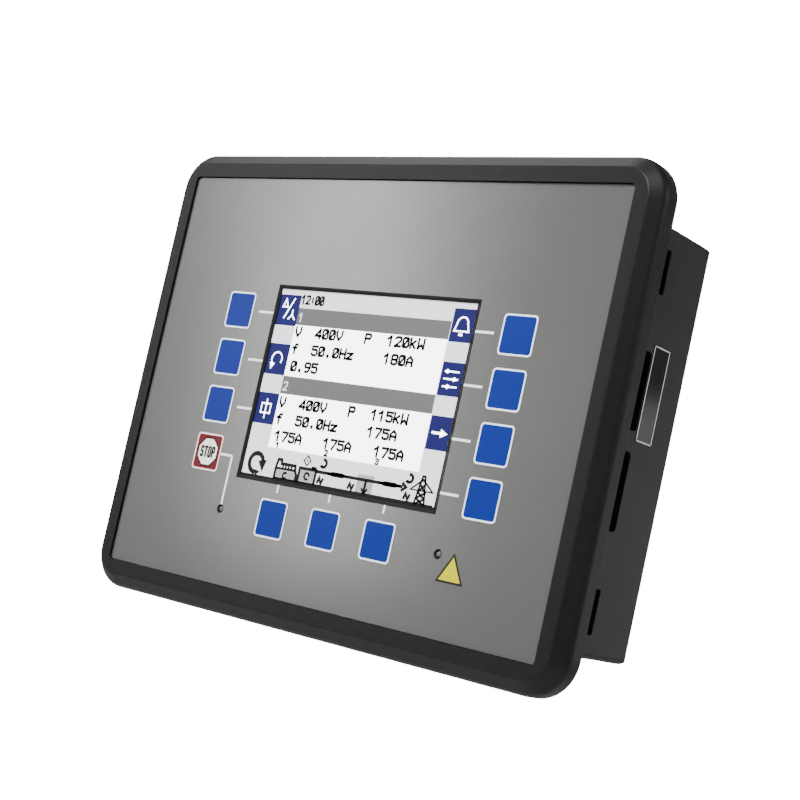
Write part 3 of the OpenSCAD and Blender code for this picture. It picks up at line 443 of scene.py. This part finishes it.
def pen_line(points, width):
    """Line of a pen: a new stroke begins wherever it turns back by more than a right angle."""
    shapes = []
    first = 0
    for i in range(1, len(points) - 1):
        arriving = Vector(points[i]) - Vector(points[i - 1])
        leaving = Vector(points[i + 1]) - Vector(points[i])
        if arriving.normalized().dot(leaving.normalized()) < SHARP_TURN:
            shapes += capped_line(points[first:i + 1], width)
            first = i
    return shapes + capped_line(points[first:], width)


def character_lines(character, x, z, w, h, width):
    """The lines of one character whose lower left corner is at x, z."""
    shapes = []
    for stroke in CHARACTERS[character].split(","):
        points = [(x + int(column) * w / CELL_UNITS_W, z + int(row) * h / CELL_UNITS_H)
                  for column, row in stroke.split()]
        shapes += pen_line(points, width)
    return shapes


def word_lines(word, x, z, w, h, pitch, width):
    """A word whose first character has its lower left corner at x, z."""
    return [shape for i, character in enumerate(word)
            for shape in character_lines(character, x + i * pitch, z, w, h, width)]


def centred_word(word, cx, cz, w, h, pitch, width):
    """A word about its centre."""
    run = (len(word) - 1) * pitch + w
    return word_lines(word, cx - run / 2, cz - h / 2, w, h, pitch, width)


# Front layout. Places come from the CAD nodes, and the first five sizes repeat the CAD source's

KEY_SIZE = 17.4
KEY_R = 1.8
KEY_EMBOSS = 0.15
WINDOW_W = 119.8
WINDOW_H = 91.2
PRINT_LIFT = 0.02
KEY_OUTLINE = 0.78
KEY_FIELD = KEY_SIZE - 2 * KEY_OUTLINE
KEY_FIELD_R = 1.254
KEY_FACE_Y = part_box("front_overlay")[0][1] / MM
PANE_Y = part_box("display_window")[0][1] / MM
KEY_PRINT_Y = KEY_FACE_Y - PRINT_LIFT
OVERLAY_PRINT_Y = KEY_FACE_Y + KEY_EMBOSS - PRINT_LIFT


def centre(node):
    """Middle of a node seen from the front, in millimetres."""
    low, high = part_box(node)
    return ((low[0] + high[0]) / 2 / MM, (low[2] + high[2]) / 2 / MM)


PLUNGER = "key_plunger_"
KEYS = {name[len(PLUNGER):]: centre(name) for name in frame["nodes"] if name.startswith(PLUNGER)}
STOP_KEY = KEYS["stop"]
BLUE_KEYS = {name: place for name, place in KEYS.items() if name != "stop"}
STOP_LAMP = centre("stop_lamp")
ALARM_LAMP = centre("alarm_lamp")
WINDOW_CENTRE = centre("display_window")


def key_field(place):
    return rounded(*place, KEY_FIELD, KEY_FIELD, KEY_FIELD_R)


def key_outline(place):
    return band(rounded(*place, KEY_SIZE, KEY_SIZE, KEY_R), key_field(place))


blue_outlines = [shape for place in BLUE_KEYS.values() for shape in key_outline(place)]
printed("key_outlines", blue_outlines, KEY_PRINT_Y, INKS["pale edge"])
printed("key_fields", [key_field(place) for place in BLUE_KEYS.values()], KEY_PRINT_Y, INKS["key blue"])
printed("stop_key_outline", key_outline(STOP_KEY), KEY_PRINT_Y, INKS["pink edge"])
printed("stop_key_field", [key_field(STOP_KEY)], KEY_PRINT_Y, INKS["stop red"])

# Eight-sided sign and its word on the stop key, in layers that lie on each other

SIGN_FLATS = 12.2
SIGN_EDGE = 0.85
SIGN_CORNERS = 8
HALF_CORNER = 180 / SIGN_CORNERS
SIGN_R = SIGN_FLATS / 2 / math.cos(math.radians(HALF_CORNER))
STOP_WORD = {"w": 1.3, "h": 4.4, "pitch": 2.5, "width": 1.08}


def stop_sign(radius):
    return regular(*STOP_KEY, radius, SIGN_CORNERS, HALF_CORNER)


printed("stop_sign_edge", band(stop_sign(SIGN_R + SIGN_EDGE), stop_sign(SIGN_R)),
        KEY_PRINT_Y - PRINT_LIFT, INKS["dark red"])
printed("stop_sign", [stop_sign(SIGN_R)], KEY_PRINT_Y - PRINT_LIFT, INKS["white"])
printed("stop_word", centred_word("STOP", *STOP_KEY, **STOP_WORD),
        KEY_PRINT_Y - 2 * PRINT_LIFT, INKS["black"])

# Lines that lead from the display to its keys, and from the stop key to its lamp

LEAD = 1.1
LEFT_LEAD_END = -65.2
RIGHT_LEAD_END = 74.0
LOWER_LEAD_END = -49.6
STOP_LEAD_BEND = 0.6
STOP_LEAD_GAP = 2
WINDOW_LEFT = WINDOW_CENTRE[0] - WINDOW_W / 2
WINDOW_RIGHT = WINDOW_CENTRE[0] + WINDOW_W / 2
WINDOW_LOW = WINDOW_CENTRE[1] - WINDOW_H / 2


def display_lead(name, x, z):
    """Line from the display's opening to a key that is named after its side."""
    if name.startswith("left"):
        return rectangle(LEFT_LEAD_END, z - LEAD / 2, WINDOW_LEFT, z + LEAD / 2)
    if name.startswith("right"):
        return rectangle(WINDOW_RIGHT, z - LEAD / 2, RIGHT_LEAD_END, z + LEAD / 2)
    return rectangle(x - LEAD / 2, LOWER_LEAD_END, x + LEAD / 2, WINDOW_LOW)


def stop_lead():
    """Line from the stop key's right edge, round a small bend and down to its lamp."""
    lamp_x, lamp_z = STOP_LAMP
    bend = arc(lamp_x - STOP_LEAD_BEND, STOP_KEY[1] - STOP_LEAD_BEND, STOP_LEAD_BEND, 90, 0, 4)
    return line([(STOP_KEY[0] + KEY_SIZE / 2, STOP_KEY[1]), *bend, (lamp_x, lamp_z + STOP_LEAD_GAP)], LEAD)


leads = [display_lead(name, *place) for name, place in BLUE_KEYS.items()] + stop_lead()
printed("leader_lines", leads, OVERLAY_PRINT_Y, INKS["white"])

# Plain triangle beside the alarm lamp, and dark rings round both lamps

ALARM_SIGN_SIDE = 14.6
ALARM_SIGN_EDGE = 0.9
ALARM_SIGN_CENTRE = (78.45, -68.2)
RING_R = 2.15
RING_W = 0.3
RING_CORNERS = 24


def alarm_triangle(inset):
    """Equilateral triangle on its base, moved in from the sign's outer edge."""
    radius = ALARM_SIGN_SIDE / math.sqrt(3) - 2 * inset
    return regular(*ALARM_SIGN_CENTRE, radius, 3, 90)


def lamp_ring(place):
    return band(regular(*place, RING_R, RING_CORNERS), regular(*place, RING_R - RING_W, RING_CORNERS))


printed("alarm_sign_edge", band(alarm_triangle(0), alarm_triangle(ALARM_SIGN_EDGE)),
        OVERLAY_PRINT_Y, INKS["black"])
printed("alarm_sign", [alarm_triangle(ALARM_SIGN_EDGE)], OVERLAY_PRINT_Y, INKS["yellow"])
printed("lamp_rings", lamp_ring(STOP_LAMP) + lamp_ring(ALARM_LAMP), OVERLAY_PRINT_Y, INKS["lamp ring"])

# Picture of the display, laid out in its own dots from the upper left corner

COLUMNS = 320
ROWS = 240
DOT = 0.361
PICTURE_LEFT = -53.9
PICTURE_TOP = 43.5
LAYER = 0.015
MASK_W = 117.6
MASK_H = 89.0
MASK_OUTER_R = 0.2
MASK_INNER_R = 0.01
DISC_CORNERS = 12
ARROW_CORNERS = ((1, 0), (0.9, 125), (0.9, 235))
KEY_ROWS = [(7, 47), (71, 111), (135, 175)]
TEXT_LEFT = 36
TEXT_RIGHT = 287
BANDS = [(23, 45), (111, 134)]
READING_FIELDS = [(45, 111), (134, 203)]


def dot(column, row):
    return (PICTURE_LEFT + column * DOT, PICTURE_TOP - row * DOT)


def dots(*pairs):
    return [dot(column, row) for column, row in pairs]


def dot_field(left, top, right, bottom):
    return dots((left, bottom), (right, bottom), (right, top), (left, top))


def dot_arc(column, row, radius, start, end):
    return arc(*dot(column, row), radius * DOT, start, end)


def dot_disc(column, row, radius):
    return regular(*dot(column, row), radius * DOT, DISC_CORNERS)


def dot_line(width, *pairs, closed=False):
    """Line through dots, its width in millimetres."""
    return line(dots(*pairs), width, closed)


def arrow_head(column, row, size, angle):
    """Filled triangle whose tip points at an angle, in degrees from right towards up."""
    x, z = dot(column, row)
    return [(x + size * DOT * reach * math.cos(math.radians(angle + turn)),
             z + size * DOT * reach * math.sin(math.radians(angle + turn)))
            for reach, turn in ARROW_CORNERS]


def picture(name, shapes, layer, ink):
    """One layer of the picture, just in front of the pane."""
    printed(name, shapes, PANE_Y - (layer + 1) * LAYER, PICTURE[ink])


mask = band(rounded(*WINDOW_CENTRE, MASK_W, MASK_H, MASK_OUTER_R),
            rounded(*dot(COLUMNS / 2, ROWS / 2), COLUMNS * DOT, ROWS * DOT, MASK_INNER_R))
key_fields = [dot_field(left, top, right, low)
              for left, right in ((0, TEXT_LEFT), (TEXT_RIGHT + 1, COLUMNS)) for top, low in KEY_ROWS]
picture("display_ground", [dot_field(0, 0, COLUMNS, ROWS)], 0, "ground")
picture("display_mask", mask, 0, "black")
picture("display_readings_ground",
        [dot_field(TEXT_LEFT, top, TEXT_RIGHT, low) for top, low in READING_FIELDS], 1, "white")
picture("display_bands", [dot_field(TEXT_LEFT, top, TEXT_RIGHT, low) for top, low in BANDS], 1, "band")
picture("display_key_fields", key_fields, 1, "blue")
picture("display_hatch",
        [dot_field(196, 217, 222, 240), dot_field(59, 227, 95, 240), dot_field(99, 222, 127, 240)],
        1, "hatch")

# Readings: plain values with their units, each at its baseline's row and its first column

READING = {"w": 8.4 * DOT, "h": 11 * DOT, "pitch": 12.1 * DOT, "width": 1.25}
CLOCK = {"w": 5.6 * DOT, "h": 10 * DOT, "pitch": 8 * DOT, "width": 1.0}
BAND_NUMBER = {"w": 5.6 * DOT, "h": 10 * DOT, "pitch": 8 * DOT, "width": 0.7}
PHASE_NUMBER = {"w": 4.5 * DOT, "h": 6 * DOT, "pitch": 6 * DOT, "width": 0.85}
SYMBOL = 40
VALUE = 75
SIDE_SYMBOL = 159
SIDE_VALUE = 196
PHASES = {"1": 45, "2": 129, "3": 213}
PHASE_NUMBER_SHIFT = 5
PHASE_NUMBER_ROW = 202
ROWS_OF_WORDS = [
    (59, [("V", SYMBOL), ("400V", VALUE), ("P", SIDE_SYMBOL), ("120kW", SIDE_VALUE)]),
    (81, [("f", SYMBOL), ("50.0Hz", VALUE), ("180A", SIDE_VALUE)]),
    (103, [("0.95", PHASES["1"])]),
    (150, [("V", SYMBOL), ("400V", VALUE), ("P", SIDE_SYMBOL), ("115kW", SIDE_VALUE)]),
    (171, [("f", SYMBOL), ("50.0Hz", VALUE), ("175A", SIDE_VALUE)]),
    (193, [("175A", column) for column in PHASES.values()]),
]
readings = [shape for row, words in ROWS_OF_WORDS for word, column in words
            for shape in word_lines(word, *dot(column, row), **READING)]
for number, column in PHASES.items():
    place = dot(column + PHASE_NUMBER_SHIFT, PHASE_NUMBER_ROW)
    readings += word_lines(number, *place, **PHASE_NUMBER)
readings += word_lines("12:00", *dot(38, 17), **CLOCK)
picture("display_readings", readings, 2, "black")
picture("display_band_numbers",
        word_lines("1", *dot(40, 40), **BAND_NUMBER) + word_lines("2", *dot(40, 129), **BAND_NUMBER),
        2, "ground")

# Icons beside the keys, and the one-line diagram below the readings

HAIR = 0.7
FINE = 1.05
HEAVY = 1.45
BOLD = 2.2


def star_delta_icon():
    shapes = dot_line(HAIR, (7, 23), (11, 13), (16, 23), closed=True) + dot_line(HAIR, (12, 38), (26, 11))
    for tip in ((20, 39), (32, 39), (26, 26)):
        shapes += dot_line(HAIR, (26, 33), tip)
    return shapes


def restart_icon():
    return line(dot_arc(17, 91, 9, -30, 240), HAIR) + [arrow_head(10, 99, 6, -100)]


def breaker_icon():
    return (dot_line(HAIR, (9, 149), (9, 161), (25, 161), (25, 149), closed=True)
            + dot_line(HAIR, (17, 143), (17, 168)))


def bell_icon():
    bell = [*dot_arc(304, 25, 8, 180, 0), *dots((315, 34), (293, 34))]
    return line(bell, HAIR, closed=True) + dot_line(FINE, (301, 38), (307, 38))


def sliders_icon():
    shapes = []
    for row, knob in ((82, 297), (91, 309), (100, 301)):
        shapes += dot_line(HAIR, (293, row), (315, row)) + [dot_disc(knob, row, 2.6)]
    return shapes


def next_icon():
    return dot_line(FINE, (293, 155), (309, 155)) + [arrow_head(310, 155, 7, 0)]


def wheel():
    """Open ring that ends in an arrow."""
    return (line(dot_arc(22, 225, 12, 15, 275), BOLD)
            + [arrow_head(33.5, 226, 10, -80), arrow_head(26, 237, 6, 15)])


def engine():
    """Engine block with its ribs and a turning mark."""
    shapes = dot_line(HEAVY, (58, 241), (58, 227), (60, 216), (66, 216), (67, 221), (91, 221), (92, 227),
                      (95, 232), (95, 241), closed=True)
    shapes += dot_line(FINE, (58, 227), (92, 227))
    for column in range(70, 90, 5):
        shapes += dot_line(FINE, (column, 222), (column, 226))
    return shapes + line(dot_arc(76, 235, 3.5, 40, 320), FINE)


def generator():
    """Box with its terminal on top, a turning mark in it and a small diamond above."""
    return (dot_line(HEAVY, (99, 241), (99, 222), (127, 222), (127, 241), closed=True)
            + [dot_field(118, 218, 127, 222)]
            + line(dot_arc(113, 231, 4, 0, 315), FINE)
            + dot_line(HAIR, (109, 206), (115, 212), (109, 218), (103, 212), closed=True)
            + [dot_disc(109, 212, 1.3)])


def turning_mark(column):
    return line(dot_arc(column, 212, 4.6, -150, 110), HEAVY) + [arrow_head(column - 3, 216, 3.6, 200)]


def closed_breaker(left):
    """Bar that swells between its two contacts."""
    return [dots((left, 223), (left + 10, 226), (left + 27, 226), (left + 37, 223), (left + 27, 220),
                 (left + 10, 220))]


def feeder():
    """Line from the generator to the mains with its two breakers, and the branch to the load."""
    return (dot_line(HEAVY, (127, 223), (268, 223)) + closed_breaker(144) + closed_breaker(229)
            + dot_line(HEAVY, (266, 218), (273, 223), (266, 228))
            + dot_line(HEAVY, (210, 223), (210, 238)) + dot_line(FINE, (205, 233), (210, 239), (215, 233)))


def supply_mark(column):
    return dot_line(HEAVY, (column, 237), (column + 2.5, 230), (column + 6.5, 237), (column + 9, 230))


def mast():
    """Lattice mast of the mains."""
    return (dot_line(FINE, (289, 242), (295, 207), (299, 207), (305, 242))
            + dot_line(FINE, (280, 224), (297, 211), (314, 224), closed=True)
            + dot_line(FINE, (294, 217), (303, 226), (291, 233), (305, 241))
            + dot_line(FINE, (300, 217), (292, 226), (303, 233), (289, 241)))


picture("display_key_icons",
        star_delta_icon() + restart_icon() + breaker_icon() + bell_icon() + sliders_icon() + next_icon(),
        2, "white")
diagram = wheel() + engine() + generator() + turning_mark(137) + turning_mark(276) + feeder()
for supply_column in (132, 183, 272):
    diagram += supply_mark(supply_column)
diagram += mast() + dot_line(HAIR, (56, 239.4), (318, 239.4))
picture("display_diagram", diagram, 2, "black")

# Pale outline of the side label, which is bare

LABEL_LINE = 0.45 * MM
LABEL_INSET = 0.1 * MM
label_low, label_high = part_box("side_label")
label_x = label_high[0] + PRINT_LIFT * MM


def side_strip(y0, z0, y1, z1):
    """Strip that looks to the right, in metres."""
    return [(label_x, y0, z0), (label_x, y1, z0), (label_x, y1, z1), (label_x, y0, z1)]


front = label_low[1] + LABEL_INSET
back = label_high[1] - LABEL_INSET
low = label_low[2] + LABEL_INSET
high = label_high[2] - LABEL_INSET
label_strips = [side_strip(front, low, back, low + LABEL_LINE),
                side_strip(front, high - LABEL_LINE, back, high),
                side_strip(front, low, front + LABEL_LINE, high),
                side_strip(back - LABEL_LINE, low, back, high)]
label_corners = [corner for strip in label_strips for corner in strip]
label_faces = [list(range(first, first + 4)) for first in range(0, len(label_corners), 4)]
flat_piece("label_outline", label_corners, label_faces, INKS["white"])


# Floor, light and camera

FLOOR_Z = -0.62
FLOOR_R = 2.2
SWEEP_R = 1.6
WALL_TOP = 3.6
FLOOR_STEPS = 64
FLOOR_HOLE_R = 0.001
SWEEP_STEP = 9
STUDIO_GLOW = 16.0
WORLD_STRENGTH = 0.12


def floor_finish():
    """Pale matt paper, lit evenly as seen by the camera."""
    material = moulding("Pale studio floor", (0.75, 0.75, 0.75), 0.8, grains=60.0)
    tree = material.node_tree
    shader = tree.nodes["Principled BSDF"]
    shader.inputs["Emission Color"].default_value = WHITE
    path = tree.nodes.new("ShaderNodeLightPath")
    glow = calculate(tree, "MULTIPLY", path.outputs["Is Camera Ray"], STUDIO_GLOW)
    tree.links.new(glow, shader.inputs["Emission Strength"])
    return material


def floor_profile():
    """Radii and heights of the floor, from the middle out and up the wall."""
    sweep = [math.radians(angle) for angle in range(SWEEP_STEP, 91, SWEEP_STEP)]
    return [(FLOOR_HOLE_R, FLOOR_Z), (FLOOR_R, FLOOR_Z),
            *[(FLOOR_R + SWEEP_R * math.sin(a), FLOOR_Z + SWEEP_R * (1 - math.cos(a))) for a in sweep],
            (FLOOR_R + SWEEP_R, WALL_TOP)]


def backdrop():
    """Pale floor that sweeps up behind the object on every side, like a large bowl."""
    profile = floor_profile()
    turns = [2 * math.pi * i / FLOOR_STEPS for i in range(FLOOR_STEPS)]
    vertices = [(r * math.cos(turn), r * math.sin(turn), z) for r, z in profile for turn in turns]
    faces = []
    for start in range(0, (len(profile) - 1) * FLOOR_STEPS, FLOOR_STEPS):
        for i in range(FLOOR_STEPS):
            after = (i + 1) % FLOOR_STEPS
            faces.append([start + i, start + after, start + FLOOR_STEPS + after, start + FLOOR_STEPS + i])
    mesh = bpy.data.meshes.new("studio_floor")
    mesh.from_pydata(vertices, [], faces)
    mesh.polygons.foreach_set("use_smooth", [True] * len(faces))
    mesh.materials.append(floor_finish())
    floor = bpy.data.objects.new("studio_floor", mesh)
    bpy.context.scene.collection.objects.link(floor)


def softbox(name, place, target, size, watts, roll=0):
    """Rectangular area light that faces a target, turned by a roll in degrees."""
    light = bpy.data.lights.new(name, "AREA")
    light.shape = "RECTANGLE"
    light.size, light.size_y = size
    light.energy = watts
    lamp = bpy.data.objects.new(name, light)
    lamp.location = place
    facing = (Vector(target) - Vector(place)).to_track_quat("-Z", "Y").to_matrix()
    lamp.rotation_euler = (facing @ Matrix.Rotation(math.radians(roll), 3, "Z")).to_euler()
    lamp.visible_camera = False
    bpy.context.scene.collection.objects.link(lamp)


def studio_world():
    world = bpy.data.worlds.new("Studio")
    world.use_nodes = True
    world.node_tree.nodes["Background"].inputs["Color"].default_value = WHITE
    world.node_tree.nodes["Background"].inputs["Strength"].default_value = WORLD_STRENGTH
    bpy.context.scene.world = world


def photo_camera():
    """Camera at the photo's viewing angle. The photo is 800 dots wide and its optical axis is off centre."""
    image_width = 800
    focal_dots = 1589.4
    axis_dots = (449.8, 454.8)
    place = (0.47661, -0.51665, -0.06841)
    heading, pitch, roll = 39.202, 4.188, 12.321
    camera = bpy.data.cameras.new("Photo camera")
    camera.sensor_width = 36
    camera.lens = focal_dots * camera.sensor_width / image_width
    camera.shift_x = (image_width / 2 - axis_dots[0]) / image_width
    camera.shift_y = (axis_dots[1] - image_width / 2) / image_width
    camera.clip_start = 0.01
    camera.clip_end = 30
    eye = bpy.data.objects.new("Photo camera", camera)
    eye.matrix_world = (Matrix.Translation(place)
                        @ Matrix.Rotation(math.radians(heading), 4, "Z")
                        @ Matrix.Rotation(math.radians(90 + pitch), 4, "X")
                        @ Matrix.Rotation(math.radians(roll), 4, "Z"))
    bpy.context.scene.collection.objects.link(eye)
    bpy.context.scene.camera = eye


backdrop()
studio_world()
softbox("Front softbox", place=(0.3, -1.2, 1.1), target=(0, 0, 0), size=(0.6, 0.6), watts=60)
softbox("Sheen softbox", place=(-1.13, -1.12, 0.46), target=(0, 0, 0.02), size=(0.21, 1.15), watts=12,
        roll=7)
softbox("Top softbox", place=(-0.75, 0.1, 1.2), target=(0, 0, 0), size=(1.0, 0.9), watts=8)
softbox("Rear softbox", place=(1.75, 2.6, -0.1), target=(0.1, 0, 0), size=(2.4, 1.05), watts=14)
softbox("Side softbox", place=(1.9, 0.5, 1.0), target=(0.1, 0, 0), size=(0.8, 0.8), watts=15)
photo_camera()
